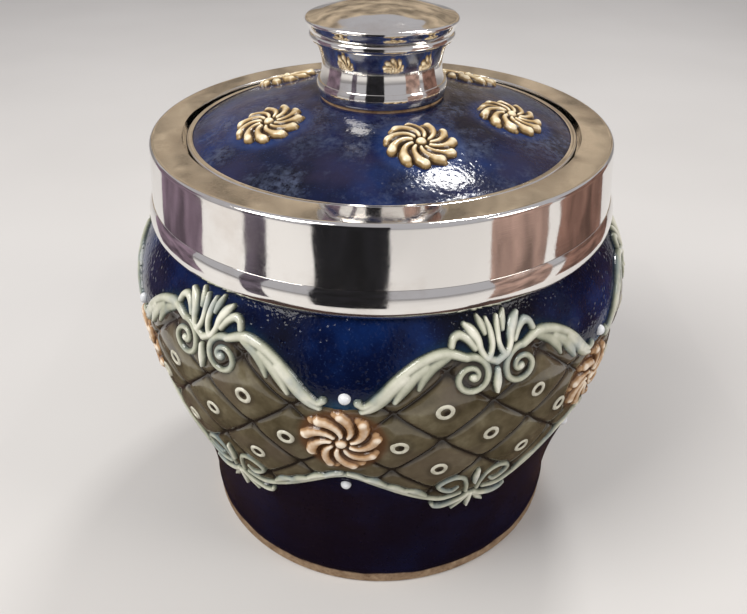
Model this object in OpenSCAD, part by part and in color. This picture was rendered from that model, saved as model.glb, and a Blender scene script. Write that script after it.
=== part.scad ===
// Lidded stoneware jar with a silver collar, applied ornament and a silver knob.
// Millimetres. +Z is up, and the origin is the centre of the foot's resting plane.

/* [Jar] */
// Outer radius just above the foot
foot_r = 51.5; // [50:0.5:53]
// Largest outer radius of the glazed wall
belly_r = 63.3; // [62:0.1:64]
// Height of the largest radius
belly_z = 73.5; // [72:0.5:75]
// Wall thickness of the stoneware
wall_t = 6; // [5:0.5:7]
// Outer radius of the plain neck inside the collar
neck_r = 52.6; // [52:0.1:53]
// Height of the stoneware rim
rim_z = 105.6; // [105:0.1:106]

/* [Collar] */
// Radius of the collar's top edge
collar_r = 56; // [55.8:0.1:56.2]
// Height of the collar's top edge
collar_z = 110.9; // [110.5:0.1:111.3]
// Height of the collar's lower edge
collar_foot_z = 91.2; // [91:0.1:92]
// Height where the sleeve meets the half-round moulding
bead_top_z = 97.4; // [97:0.1:98]
// Radius of the opening in the top ring
throat_r = 48.4; // [48.2:0.1:48.6]
// Thickness of the silver sheet
sheet_t = 0.8; // [0.6:0.1:0.9]

/* [Lid] */
// Radius of the stoneware lid disc
lid_r = 46.9; // [46.6:0.1:47]
// Height of the lid's outer top edge
lid_edge_z = 109.8; // [109.6:0.1:110]
// Height of the lid's crown under the knob
lid_crown_z = 118; // [117.5:0.1:118.5]
// Height of the ledge that the lid sits on
ledge_z = 106.5; // [106.4:0.1:106.6]

/* [Knob] */
// Largest radius of the knob's cap
cap_r = 17.8; // [17:0.1:18.5]
// Height of the cap's rim
cap_z = 136.1; // [135.5:0.1:136.5]
// Height of the cap's dome above its rim
dome_h = 3.3; // [2.5:0.1:4]
// Smallest radius of the neck
waist_r = 14.2; // [13.5:0.1:15]
// Radius of the moulded ring at the foot of the knob
base_r = 15.6; // [15:0.1:16.2]
// Radius of the threaded rod through the lid
stud_r = 3; // [2.5:0.5:3.5]

/* [Ornament] */
// Number of times the frieze repeats round the body
repeats = 6; // [6]
// Azimuth of the first body rosette, from the front
rosette_az = -7.5; // [-30:0.5:30]
// Radius of a body rosette
rosette_r = 9; // [8:0.1:9.2]
// Height of the applied leaf scrolls above the wall
leaf_h = 1.3; // [1:0.1:1.4]

/* [Hidden] */
$fn = 96;

// Colours
blue_glaze = [0.02, 0.04, 0.20];
olive_glaze = [0.55, 0.57, 0.50];
cream_glaze = [0.86, 0.76, 0.62];
white_glaze = [0.90, 0.91, 0.92];
silver = [0.80, 0.79, 0.78];
plaster = [0.88, 0.86, 0.80];
cork = [0.62, 0.46, 0.30];
plated_iron = [0.66, 0.66, 0.66];

// One repeat of the frieze, and the azimuth of the first palmette
pitch_az = 360 / repeats;
palmette_az = rosette_az + pitch_az / 2;
// Half the width and the height of one quilted diamond
diamond_az = pitch_az / 6;
diamond_z = 9.5;
// Height of the middle row of diamonds, and of the rosettes
frieze_z = 61.3;
rosette_z = 62.4;
// Foot ring
foot_z = 3.8;
foot_in_r = 45;
recess_z = 3.2;
// Top of the jar's floor
floor_z = 10.5;
// The top of the body where the collar's edge hides it
shoulder_z = 91.6;
shoulder_r = 55.9;
neck_foot_z = 93;
// Fine facets for the core, so that thin ornament keeps its true volume
core_fn = 720;

// Cubic Bezier point and curve
function bez(p, t) = pow(1 - t, 3) * p[0] + 3 * pow(1 - t, 2) * t * p[1]
                   + 3 * (1 - t) * t * t * p[2] + pow(t, 3) * p[3];
function curve(p, n) = [for (i = [0:n]) bez(p, i / n)];
// Points of a circular arc
function arc(c, r, a0, a1, n) =
    [for (i = [0:n]) c + r * [cos(a0 + (a1 - a0) * i / n), sin(a0 + (a1 - a0) * i / n)]];

// Outer profile of the glazed wall, as [radius, height], and the inner one
belly_curve = curve([[foot_r, foot_z], [foot_r - 0.4, 31.5],
                     [belly_r - 1.2, 43.1], [belly_r, belly_z]], 14);
shoulder_curve = curve([[belly_r, belly_z], [belly_r, 81], [60.6, 86.4],
                        [shoulder_r, shoulder_z]], 7);
wall_profile = concat(belly_curve, [for (i = [1:7]) shoulder_curve[i]]);
inner_profile = concat(
    arc([foot_r - wall_t - 5, floor_z + 5], 5, -90, 0, 4),
    curve([[foot_r - wall_t, floor_z + 8], [foot_r - wall_t, 33],
           [belly_r - wall_t - 1.2, 45], [belly_r - wall_t, belly_z]], 10),
    curve([[belly_r - wall_t, belly_z + 2], [belly_r - wall_t, 82],
           [54, 88], [neck_r - wall_t, neck_foot_z]], 6));

// Radius and slope of the glazed wall at a height
wall_table = [for (p = wall_profile) [p[1], p[0]]];
function wall_r(z) = lookup(z, wall_table);
function wall_tilt(z) = atan((wall_r(z + 2) - wall_r(z - 2)) / 4);

// Height and slope of the lid's top at a radius
dome_k = (lid_crown_z - lid_edge_z) / (pow(lid_r, 2) - pow(base_r, 2));
function lid_top(r) = min(lid_crown_z, lid_crown_z + dome_k * (pow(base_r, 2) - r * r));
function lid_tilt(r) = atan(2 * dome_k * r);
lid_top_line = concat([[lid_r, lid_edge_z - 0.1]],
    [for (i = [1:8]) let (r = lid_r + (base_r - lid_r) * i / 8) [r, lid_top(r)]]);

// A closed ring of revolution from an outline
module turned(outline) {
    rotate_extrude() polygon(outline);
}

// Puts its children on the wall: X to the right, Y up the wall, Z outwards
module on_wall(az, z) {
    rotate([0, 0, az]) translate([0, -wall_r(z), z])
        rotate([90 + wall_tilt(z), 0, 0]) children();
}

// Puts its children on the lid's top: Y towards the crown, Z outwards
module on_lid(az, r) {
    rotate([0, 0, az]) translate([0, -r, lid_top(r)])
        rotate([lid_tilt(r), 0, 0]) children();
}

// The solid inside the glazed wall, for fitting ornament onto the clay
module wall_core() {
    rotate_extrude($fn = core_fn)
        polygon(concat([[0, foot_z]], wall_profile, [[0, shoulder_z]]));
}

// A skin of the given height on the wall between two heights
module wall_skin(h, z0, z1) {
    part = [for (p = wall_profile) if (p[1] > z0 && p[1] < z1) p];
    inner = concat([[wall_r(z0), z0]], part, [[wall_r(z1), z1]]);
    n = len(inner);
    turned(concat(inner, [for (i = [1:n]) inner[n - i] + [h, 0]]));
}

// A flat outline, in X and height, pressed onto the wall at an azimuth
module wall_relief(az, h, z0, z1) {
    intersection() {
        wall_skin(h, z0, z1);
        rotate([90, 0, az]) translate([0, 0, 40]) linear_extrude(30) children();
    }
}

// Outline of a petal along +Y: its width, and how far its tip bends in X
function petal(len, w, bend) = let (n = 8) concat(
    [for (i = [0:n]) let (t = i / n)
        [w / 2 * pow(sin(180 * pow(t, 0.75)), 0.8) + bend * t * t, len * t]],
    [for (i = [1:n - 1]) let (t = 1 - i / n)
        [-w / 2 * pow(sin(180 * pow(t, 0.75)), 0.8) + bend * t * t, len * t]]);

// A whirl rosette of curved petals round a boss, its foot sunk below Z = 0
module whirl_rosette(r, sink) {
    petals = 11;
    translate([0, 0, -sink]) {
        cylinder(r = r * 0.86, h = sink + 0.7);
        for (i = [0:petals - 1]) rotate([0, 0, i * 360 / petals])
            translate([0, r * 0.26, 0]) linear_extrude(sink + 1.7)
                polygon(petal(r * 0.74, r * 0.36, r * 0.16));
        cylinder(r = r * 0.17, h = sink + 2);
    }
}

// ---- Jar ----

// Thrown stoneware pot with a foot ring and a plain neck
module jar_body() {
    color(blue_glaze) turned(concat(
        [[0, recess_z], [foot_in_r, recess_z], [foot_in_r + 0.8, 0.6],
         [foot_in_r + 1.6, 0], [foot_r - 0.6, 0], [foot_r - 0.1, 0.5]],
        wall_profile,
        [[neck_r, neck_foot_z], [neck_r, rim_z], [neck_r - wall_t, rim_z]],
        [for (i = [len(inner_profile) - 1:-1:0]) inner_profile[i]],
        [[0, floor_z]]));
}

// Outline of an upper scroll, right of its palmette, round its middle azimuth
scroll_az = 16;
function scroll_xy(a, z) = [wall_r(z) * sin(a - scroll_az), z];
scroll_top = curve([scroll_xy(5, 82), scroll_xy(12, 87.4), scroll_xy(19, 82),
                    scroll_xy(25, 74.6)], 9);
scroll_low = curve([scroll_xy(24.4, 70.9), scroll_xy(18, 73), scroll_xy(15, 80.5),
                    scroll_xy(8.4, 81.4)], 7);
spiral_at = scroll_xy(5.3, 78.3);

// One leaf scroll with its spiral eye and its curled tip
module upper_scroll_shape() {
    polygon(concat(scroll_top, [scroll_xy(26.3, 74.1), scroll_xy(27, 73),
                                scroll_xy(26, 71.4)], scroll_low));
    translate(spiral_at) difference() {
        circle(r = 4.1, $fn = 28);
        translate([-0.3, -0.2]) circle(r = 2.3, $fn = 20);
    }
    translate(spiral_at + [1.3, -0.6]) circle(r = 1.3, $fn = 16);
}

// Two mirrored leaf scrolls at each palmette
module upper_scrolls() {
    color(olive_glaze) for (i = [0:repeats - 1]) rotate([0, 0, palmette_az + i * pitch_az])
        for (side = [0, 1]) mirror([side, 0, 0])
            wall_relief(scroll_az, leaf_h, 69, 87) upper_scroll_shape();
}

// Fan of lobes above the meeting of two scrolls
module upper_palmettes() {
    color(olive_glaze) for (i = [0:repeats - 1])
        wall_relief(palmette_az + i * pitch_az, 1.5, 80, 90.2)
            translate([0, 81.6]) {
                for (side = [-1, 1], k = [1:2]) rotate(-side * k * 22)
                    polygon(petal(8.6 - 0.7 * k, 3, side * k * 0.5));
                polygon(petal(8.4, 3.4, 0));
                translate([0, 0.8]) circle(r = 1.8, $fn = 20);
            }
}

// Long drop hanging under each palmette
module palmette_drops() {
    color(olive_glaze) difference() {
        for (i = [0:repeats - 1]) on_wall(palmette_az + i * pitch_az, 76.2) rotate([90, 0, 0])
            turned(concat([[0, -3]], arc([0, 1.2], 1.5, -40, 60, 6), [[0, 3.2]]));
        wall_core();
    }
}

// Outline of a lower leaf edging, right of its palmette
edging_az = 18;
function edging_xy(a, z) = [wall_r(z) * sin(a - edging_az), z];
edging_top = curve([edging_xy(6.4, 38.7), edging_xy(12, 38.8), edging_xy(19, 46),
                    edging_xy(29.2, 50.4)], 10);
edging_low = curve([edging_xy(29.2, 49.2), edging_xy(20, 44), edging_xy(12.5, 36.6),
                    edging_xy(7, 36.4)], 8);

// One lower edging with its spiral eye
module lower_scroll_shape() {
    polygon(concat(edging_top, edging_low));
    translate(edging_xy(5.2, 42)) difference() {
        circle(r = 3.7, $fn = 26);
        translate([-0.2, 0.3]) circle(r = 2.1, $fn = 18);
    }
}

// Two mirrored edgings at each lower spray
module lower_scrolls() {
    color(olive_glaze) for (i = [0:repeats - 1]) rotate([0, 0, palmette_az + i * pitch_az])
        for (side = [0, 1]) mirror([side, 0, 0])
            wall_relief(edging_az, 1, 34, 52) lower_scroll_shape();
}

// Small hanging spray under the frieze
module lower_palmettes() {
    color(olive_glaze) for (i = [0:repeats - 1])
        wall_relief(palmette_az + i * pitch_az, 1.1, 28, 39)
            translate([0, 36.6]) {
                for (side = [-1, 1], k = [1:2]) rotate(180 + side * k * 26)
                    polygon(petal(8 - k, 2.6, -side * k * 0.5));
                rotate(180) polygon(petal(7, 3, 0));
                circle(r = 1.7, $fn = 20);
            }
}

// Small drop standing on each lower spray
module lower_drops() {
    color(olive_glaze) difference() {
        for (i = [0:repeats - 1]) on_wall(palmette_az + i * pitch_az, 44.4)
            rotate([-90, 0, 0])
                turned(concat([[0, -3]], arc([0, 0.8], 1.2, -40, 60, 6), [[0, 2.9]]));
        wall_core();
    }
}

// Whirl rosettes between the scrolls
module body_rosettes() {
    color(cream_glaze) difference() {
        for (i = [0:repeats - 1]) on_wall(rosette_az + i * pitch_az, rosette_z)
            whirl_rosette(rosette_r, 2);
        wall_core();
    }
}

// One white bead for each repeat: a low dome with its foot sunk into the wall,
// set a little to one side of its rosette's middle
module bead_row(z, r, side) {
    color(white_glaze) difference() {
        for (i = [0:repeats - 1]) on_wall(rosette_az + side + i * pitch_az, z)
            turned(concat([[0, -0.8], [r, -0.8]], arc([0, 0], r, 0, 90, 6)));
        wall_core();
    }
}
module rosette_beads_upper() {
    bead_row(74.8, 1.6, 0.8);
}
module rosette_beads_lower() {
    bead_row(45.4, 1.3, 0);
}

// Azimuth from the palmette, and height, of the ring in each diamond
side_ring_az = 2 * diamond_az - 1.6;
ring_places = [[0, frieze_z], [side_ring_az, frieze_z], [-side_ring_az, frieze_z],
               [diamond_az, frieze_z + diamond_z], [-diamond_az, frieze_z + diamond_z],
               [diamond_az, frieze_z - diamond_z], [-diamond_az, frieze_z - diamond_z]];

// One small raised ring in the middle of each diamond
module ring_studs() {
    color(cream_glaze) difference() {
        for (i = [0:repeats - 1], p = ring_places)
            on_wall(palmette_az + i * pitch_az + p[0], p[1]) difference() {
                translate([0, 0, -1]) cylinder(r = 2, h = 1.8, $fn = 32);
                translate([0, 0, -2]) cylinder(r = 1, h = 4, $fn = 32);
            }
        wall_core();
    }
}

// ---- Collar ----

// Radius of the sleeve's outside at a height, and where it runs behind the moulding
function sleeve_r(z) = collar_r + (collar_z - z) * 0.09;
function behind_r(z) = sleeve_r(z) - 0.6;

// Silver sleeve with its turned-in top ring
module collar_band() {
    edge = 0.9;
    color(silver) turned(concat(
        [[behind_r(collar_foot_z), collar_foot_z], [behind_r(bead_top_z), bead_top_z],
         [sleeve_r(bead_top_z), bead_top_z]],
        arc([collar_r - edge, collar_z - edge], edge, 0, 90, 5),
        [[throat_r, collar_z + 0.1], [throat_r, collar_z - 0.7],
         [collar_r - edge, collar_z - sheet_t],
         [collar_r - sheet_t, collar_z - edge - 0.4],
         [behind_r(bead_top_z) - sheet_t, bead_top_z],
         [behind_r(collar_foot_z) - sheet_t, collar_foot_z]]));
}

// Half-round moulding soldered round the foot of the sleeve
module collar_bead() {
    gap = 0.03;
    low_r = behind_r(collar_foot_z);
    color(silver) turned(concat(
        [[low_r + gap, collar_foot_z]],
        curve([[low_r + 0.6, collar_foot_z], [low_r + 1.5, collar_foot_z + 1.2],
               [low_r + 1.3, bead_top_z - 1.6],
               [sleeve_r(bead_top_z) + 0.1, bead_top_z - gap]], 8),
        [[behind_r(bead_top_z) + gap, bead_top_z - gap]]));
}

// Throat ring under the top ring, with the ledge that the lid sits on
module collar_liner() {
    color(silver) turned([
        [throat_r, collar_z - 0.8], [throat_r, ledge_z], [45.2, ledge_z],
        [45.2, ledge_z - 0.8], [throat_r + 0.8, ledge_z - 0.8],
        [throat_r + 0.8, collar_z - 0.8]]);
}

// Plaster bedding between the sleeve and the stoneware neck
module collar_cement() {
    color(plaster) turned([
        [neck_r, neck_foot_z + 0.3], [sleeve_r(bead_top_z) - sheet_t - 0.8, neck_foot_z + 0.3],
        [collar_r - sheet_t - 0.1, collar_z - 3], [throat_r + 3, collar_z - 3],
        [throat_r + 3, rim_z + 0.2], [neck_r, rim_z + 0.2]]);
}

// ---- Lid ----

flange_out_r = 44.4;
flange_in_r = 40.6;
flange_z = 101;
lid_seat_z = ledge_z + 0.05;
lid_t = 6;

// Domed stoneware lid with a locating flange and a hole for the stud
module lid_disc() {
    hole_r = stud_r + 0.4;
    under = [for (i = [0:5]) let (r = base_r + (flange_in_r - 3 - base_r) * i / 5)
             [r, lid_top(r) - lid_t]];
    color(blue_glaze) turned(concat(
        [[lid_r, lid_seat_z]],
        lid_top_line,
        [[hole_r, lid_crown_z], [hole_r, lid_crown_z - lid_t]],
        under,
        [[flange_in_r, lid_seat_z - 1], [flange_in_r, flange_z + 0.6],
         [flange_in_r + 0.6, flange_z], [flange_out_r - 0.6, flange_z],
         [flange_out_r, flange_z + 0.6], [flange_out_r, lid_seat_z]]));
}

// Thin silver edge round the lid
module lid_bezel() {
    color(silver) turned(concat(
        [[lid_r, lid_seat_z], [lid_r + 0.6, lid_seat_z], [lid_r + 0.6, lid_edge_z]],
        arc([lid_r, lid_edge_z], 0.6, 0, 120, 4),
        [[lid_r - 0.9, lid_edge_z + 0.5], [lid_r - 0.9, lid_top(lid_r - 0.9) + 0.02],
         [lid_r, lid_edge_z + 0.02]]));
}

// Azimuth and radius of each of the lid's rosettes, set by hand and a little uneven
lid_rosette_at = [[16.5, 28.6], [74, 31.2], [136, 33.4], [181, 31], [225, 36], [300.5, 29.4]];

// Whirl rosettes on the lid
module lid_rosettes() {
    color(cream_glaze) difference() {
        for (at = lid_rosette_at) on_lid(at[0], at[1]) whirl_rosette(8.4, 1.5);
        rotate_extrude($fn = core_fn)
            polygon(concat([[0, lid_edge_z - 5], [lid_r, lid_edge_z - 5]],
                           lid_top_line, [[0, lid_crown_z]]));
    }
}

// ---- Knob ----

base_z = lid_crown_z + 0.5;
base_top_z = 122.2;
neck_top_z = cap_z - 2.6;
bead_z = neck_top_z - 1.2;

// Domed silver top with its rolled rim and its spun-in underside
module knob_cap() {
    dome_r = (pow(cap_r - 0.6, 2) + pow(dome_h, 2)) / (2 * dome_h);
    half = asin((cap_r - 0.6) / dome_r);
    inner_r = dome_r - sheet_t;
    color(silver) turned(concat(
        [[0, cap_z + dome_h - sheet_t]],
        [for (i = [1:5]) let (a = half * 0.9 * i / 5)
            [inner_r * sin(a), cap_z + dome_h - dome_r + inner_r * cos(a)]],
        [[cap_r - 1.5, cap_z - 0.6], [cap_r - 2, neck_top_z + 0.8], [12, neck_top_z + 0.8],
         [12, neck_top_z], [cap_r - 1, neck_top_z], [cap_r - 0.8, neck_top_z + 0.8]],
        arc([cap_r - 0.6, cap_z - 0.4], 0.6, -10, 80, 5),
        [for (i = [7:-1:0]) let (a = half * i / 8)
            [dome_r * sin(a), cap_z + dome_h - dome_r + dome_r * cos(a)]]));
}

// Waisted tube with a half-round moulding at its top
module knob_neck() {
    flare = curve([[base_r - 0.7, base_top_z], [waist_r - 0.5, base_top_z + 3.4],
                   [waist_r + 0.2, base_top_z + 6.4], [cap_r - 2, bead_z - 1.2]], 9);
    n = len(flare);
    color(silver) turned(concat(
        flare, arc([cap_r - 1.9, bead_z], 1.1, -70, 80, 6),
        [[cap_r - 2.2, neck_top_z - 0.02], [12, neck_top_z - 0.02], [12, neck_top_z - 0.8],
         [cap_r - 3.2, neck_top_z - 0.8]],
        [for (i = [1:n]) flare[n - i] - [sheet_t, 0]]));
}

// Moulded ring that the knob stands on, with a plate that the stud is fixed to
module knob_base_ring() {
    color(silver) turned(concat(
        [[stud_r, base_z], [base_r - 1, base_z]],
        arc([base_r - 1, base_z + 0.8], 0.8, -90, 0, 3),
        curve([[base_r - 0.1, base_z + 1.2], [base_r + 0.2, base_z + 2.4],
               [base_r, base_top_z - 0.5], [base_r - 0.3, base_top_z]], 5),
        [[base_r - 1.6, base_top_z], [base_r - 1.6, base_z + 1.2], [stud_r, base_z + 1.2]]));
}

// Thin cork washer under the knob
module knob_seat_washer() {
    color(cork) translate([0, 0, lid_crown_z]) difference() {
        cylinder(r = base_r - 0.8, h = base_z - lid_crown_z);
        translate([0, 0, -1]) cylinder(r = stud_r + 1, h = 3);
    }
}

// Threaded rod from the knob's plate through the lid
module knob_stud() {
    color(plated_iron) {
        translate([0, 0, 105.6]) cylinder(r = stud_r, h = base_z + 1.2 - 105.6);
        translate([0, 0, base_z + 1.2]) cylinder(r = stud_r + 2, h = 1.6);
    }
}

under_z = lid_crown_z - lid_t;

// Washer under the lid
module retaining_washer() {
    color(plated_iron) translate([0, 0, under_z - 1.2]) difference() {
        cylinder(r = 8.5, h = 1.2);
        translate([0, 0, -1]) cylinder(r = stud_r + 0.2, h = 4);
    }
}

// Hexagon nut under the washer
module retaining_nut() {
    color(plated_iron) translate([0, 0, under_z - 5.7]) difference() {
        cylinder(r = 5.8, h = 4.5, $fn = 6);
        translate([0, 0, -1]) cylinder(r = stud_r, h = 8);
    }
}

jar_body();
upper_scrolls();
upper_palmettes();
palmette_drops();
lower_scrolls();
lower_palmettes();
lower_drops();
body_rosettes();
rosette_beads_upper();
rosette_beads_lower();
ring_studs();
collar_band();
collar_bead();
collar_liner();
collar_cement();
lid_disc();
lid_bezel();
lid_rosettes();
knob_cap();
knob_neck();
knob_base_ring();
knob_seat_washer();
knob_stud();
retaining_washer();
retaining_nut();
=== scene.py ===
"""Visual model of a lidded stoneware jar with a silver collar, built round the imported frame."""
import math

import bpy
import numpy as np
from mathutils import Euler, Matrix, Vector

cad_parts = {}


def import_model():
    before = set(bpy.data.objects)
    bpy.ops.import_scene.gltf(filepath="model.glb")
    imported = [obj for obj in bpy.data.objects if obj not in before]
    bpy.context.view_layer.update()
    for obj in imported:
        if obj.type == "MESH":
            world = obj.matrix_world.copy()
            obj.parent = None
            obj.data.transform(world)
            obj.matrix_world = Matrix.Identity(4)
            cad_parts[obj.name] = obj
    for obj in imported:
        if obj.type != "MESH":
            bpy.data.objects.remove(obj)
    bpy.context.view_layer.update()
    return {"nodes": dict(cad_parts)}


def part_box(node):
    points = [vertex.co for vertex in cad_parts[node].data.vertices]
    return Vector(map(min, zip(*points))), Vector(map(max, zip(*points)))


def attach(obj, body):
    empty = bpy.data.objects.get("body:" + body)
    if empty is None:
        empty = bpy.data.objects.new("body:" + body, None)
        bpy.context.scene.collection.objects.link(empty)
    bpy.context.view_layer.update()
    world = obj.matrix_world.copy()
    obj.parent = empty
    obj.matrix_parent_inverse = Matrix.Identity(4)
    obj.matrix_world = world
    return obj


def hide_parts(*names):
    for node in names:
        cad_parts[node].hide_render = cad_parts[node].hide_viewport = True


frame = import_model()

MM = 0.001

# ---------------------------------------------------------------- measures from the frame


def vertices_of(node):
    """Vertices of a CAD node, in millimetres."""
    obj = frame["nodes"][node]
    flat = np.empty(len(obj.data.vertices) * 3)
    obj.data.vertices.foreach_get("co", flat)
    place = np.array(obj.matrix_world)
    return (flat.reshape(-1, 3) @ place[:3, :3].T + place[:3, 3]) / MM


def edges_of(node):
    """Edges of a CAD node, as pairs of vertex numbers."""
    mesh = frame["nodes"][node].data
    flat = np.empty(len(mesh.edges) * 2, int)
    mesh.edges.foreach_get("vertices", flat)
    return flat.reshape(-1, 2)


def rings_of(points, near=0.02):
    """The circles that a turned node's vertices lie on, as [radius, height], and each one's circle."""
    pair = np.stack([np.hypot(points[:, 0], points[:, 1]), points[:, 2]], 1)
    fine, member = np.unique(np.round(pair, 3), axis=0, return_inverse=True)
    label = np.full(len(fine), -1)
    rings = []
    for i, p in enumerate(fine):
        if label[i] < 0:
            close = np.hypot(*(fine - p).T) < near
            label[close & (label < 0)] = len(rings)
            rings.append(p)
    return np.array(rings), label[member.ravel()]


def section(node):
    """A turned node's outline as [radius, height], in order.
    An outline that meets the axis starts and ends there."""
    rings, ring = rings_of(vertices_of(node))
    links = {i: set() for i in range(len(rings))}
    for i, j in np.unique(ring[edges_of(node)], axis=0):
        if i != j:
            links[i].add(j)
            links[j].add(i)
    ends = [i for i in links if len(links[i]) == 1]
    path = [ends[0] if ends else 0]
    while True:
        here = path[-1]
        free = [i for i in links[here] if i not in path]
        if not free:
            break
        path.append(min(free, key=lambda i: np.hypot(*(rings[i] - rings[here]))))
    line = rings[path]
    if ends:
        line = np.vstack([[0, line[0, 1]], line, [0, line[-1, 1]]])
    return drop_straight(line, not ends), not ends


def drop_straight(line, closed, tol=0.004):
    """The outline without the points that lie on a straight run."""
    kept = []
    for i, p in enumerate(line):
        if not closed and i in (0, len(line) - 1):
            kept.append(p)
            continue
        a, b = line[i - 1], line[(i + 1) % len(line)]
        run = b - a
        off = abs(run[0] * (p - a)[1] - run[1] * (p - a)[0]) / max(np.hypot(*run), 1e-9)
        if off > tol:
            kept.append(p)
    return np.array(kept)


def smooth_outline(line, closed, step, corner=34.0):
    """The outline as a flowing curve with points about step apart.
    Corners sharper than corner degrees stay sharp."""
    count = len(line)
    last = count if closed else count - 1
    runs = [line[(i + 1) % count] - line[i] for i in range(last)]
    size = [np.hypot(*r) for r in runs]

    def tangent(i, run):
        """Direction at point i for the run that starts or ends there."""
        if not closed and i in (0, count - 1):
            return runs[run] / size[run]
        before, after = (i - 1) % count, i % count
        a, b = runs[before] / size[before], runs[after] / size[after]
        turn = math.degrees(math.acos(np.clip(a @ b, -1, 1)))
        if turn > corner:
            return runs[run] / size[run]
        mix = runs[before] + runs[after]
        return mix / np.hypot(*mix)

    out = []
    for i in range(last):
        p, q = line[i], line[(i + 1) % count]
        after = (i + 1) % count if closed else i + 1
        s, e = tangent(i, i) * size[i], tangent(after, i) * size[i]
        steps = max(1, int(round(size[i] / step)))
        for t in np.arange(steps) / steps:
            out.append((2 * t**3 - 3 * t**2 + 1) * p + (t**3 - 2 * t**2 + t) * s
                       + (3 * t**2 - 2 * t**3) * q + (t**3 - t**2) * e)
    if not closed:
        out.append(line[-1])
    return np.array(out)


def groups(node, gap=6.0):
    """Azimuth in radians of each separate solid in a ring of them, from -Y towards +X."""
    points = vertices_of(node)
    az = np.sort(np.degrees(np.arctan2(points[:, 0], -points[:, 1])))
    split = np.flatnonzero(np.diff(az) > gap) + 1
    parts = np.split(az, split)
    if az[0] + 360 - az[-1] < gap:
        parts[0] = np.concatenate([parts[-1] - 360, parts[0]])
        parts.pop()
    return [math.radians((p.min() + p.max()) / 2) for p in parts]


jar_line, _ = section("jar_body")
rim = int(np.argmax(jar_line[:, 1]))
after_rim = jar_line[rim:]
shoulder = rim + int(np.flatnonzero(after_rim[:, 1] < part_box("collar_bead")[0].z / MM + 1)[0])
foot = shoulder + int(np.flatnonzero(jar_line[shoulder:, 1] < 5)[0])
outer = jar_line[shoulder:foot + 1][::-1]
WALL_TOP, FOOT_TOP = outer[-1, 1], outer[0, 1]
wall_fine = smooth_outline(outer, False, 0.06, corner=60)
wall_z, wall_rad = wall_fine[:, 1], wall_fine[:, 0]
wall_tilt = np.arctan(np.gradient(wall_rad, wall_z))

drop_az = sorted(groups("palmette_drops"), key=abs)
rosette_az = sorted(groups("body_rosettes"), key=abs)
lid_az = groups("lid_rosettes")
PITCH = math.tau / len(drop_az)
REACH = 61.0  # radius at which the frieze is laid out flat
HALF = REACH * PITCH / 2  # half of one repeat in the flat


def middle_z(node):
    """Height of the middle of a node, in millimetres."""
    lo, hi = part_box(node)
    return (lo.z + hi.z) / 2 / MM


FRIEZE_Z = middle_z("ring_studs")
ROSE_Z = middle_z("body_rosettes")


def on_wall(x, z, h, az):
    """Points on the wall: x along it from azimuth az, at height z, standing h out, in millimetres."""
    tilt = np.interp(z, wall_z, wall_tilt)
    r = np.interp(z, wall_z, wall_rad) + h * np.cos(tilt)
    turn = az + x / REACH
    return np.stack([r * np.sin(turn), -r * np.cos(turn), z - h * np.sin(tilt)], -1)


# ---------------------------------------------------------------- meshes


def placed(name, data):
    """A new object in the scene."""
    obj = bpy.data.objects.new(name, data)
    bpy.context.scene.collection.objects.link(obj)
    return obj


def make_piece(name, points, faces, material, body, nodes, values=None, crease=38.0):
    """A mesh piece from points in millimetres, riding on a body and standing for CAD nodes."""
    mesh = bpy.data.meshes.new(name)
    mesh.from_pydata((np.asarray(points) * MM).tolist(), [], faces)
    mesh.polygons.foreach_set("use_smooth", np.ones(len(mesh.polygons), bool))
    mesh.set_sharp_from_angle(angle=math.radians(crease))
    for key, value in (values or {}).items():
        layer = mesh.attributes.new(key, "FLOAT", "POINT")
        layer.data.foreach_set("value", np.asarray(value, np.float32))
    mesh.materials.append(material)
    mesh.validate()
    obj = placed(name, mesh)
    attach(obj, body)
    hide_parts(*nodes)


def lathe(line, closed, segments):
    """Points, faces and [azimuth, radius, height] of a turned surface."""
    poles = [] if closed else [line[0], line[-1]]
    body = line if closed else line[1:-1]
    count = len(body)
    az = np.arange(segments) * math.tau / segments
    grid_az = np.tile(az, count)
    r = np.repeat(body[:, 0], segments)
    z = np.repeat(body[:, 1], segments)
    points = np.stack([r * np.sin(grid_az), -r * np.cos(grid_az), z], 1)
    near = np.arange(segments)
    far = (near + 1) % segments
    faces = []
    for i in range(count if closed else count - 1):
        a, b = i * segments, (i + 1) % count * segments
        faces += np.stack([a + near, a + far, b + far, b + near], 1).tolist()
    if poles:
        start, end = len(points), len(points) + 1
        points = np.vstack([points, [[0, 0, p[1]] for p in poles]])
        top = (count - 1) * segments
        faces += np.stack([far, near, np.full(segments, start)], 1).tolist()
        faces += np.stack([top + near, top + far, np.full(segments, end)], 1).tolist()
    cyl = np.stack([np.arctan2(points[:, 0], -points[:, 1]),
                    np.hypot(points[:, 0], points[:, 1]), points[:, 2]], 1)
    if signed_volume(points, faces) < 0:
        faces = [f[::-1] for f in faces]
    return points, faces, cyl


def signed_volume(points, faces):
    """Six times the volume inside a closed mesh, negative where its faces look inwards."""
    tri = np.array([(f[0], f[k], f[k + 1]) for f in faces for k in range(1, len(f) - 1)])
    a, b, c = points[tri[:, 0]], points[tri[:, 1]], points[tri[:, 2]]
    return float(np.einsum("ij,ij->i", a, np.cross(b, c)).sum())


def silver_piece(name, node, body, segments, step):
    """A turned silver node again as a fine mesh with flowing curves."""
    line, closed = section(node)
    points, faces, _ = lathe(smooth_outline(line, closed, step), closed, segments)
    make_piece(name, points, faces, silver, body, [node])


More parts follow.
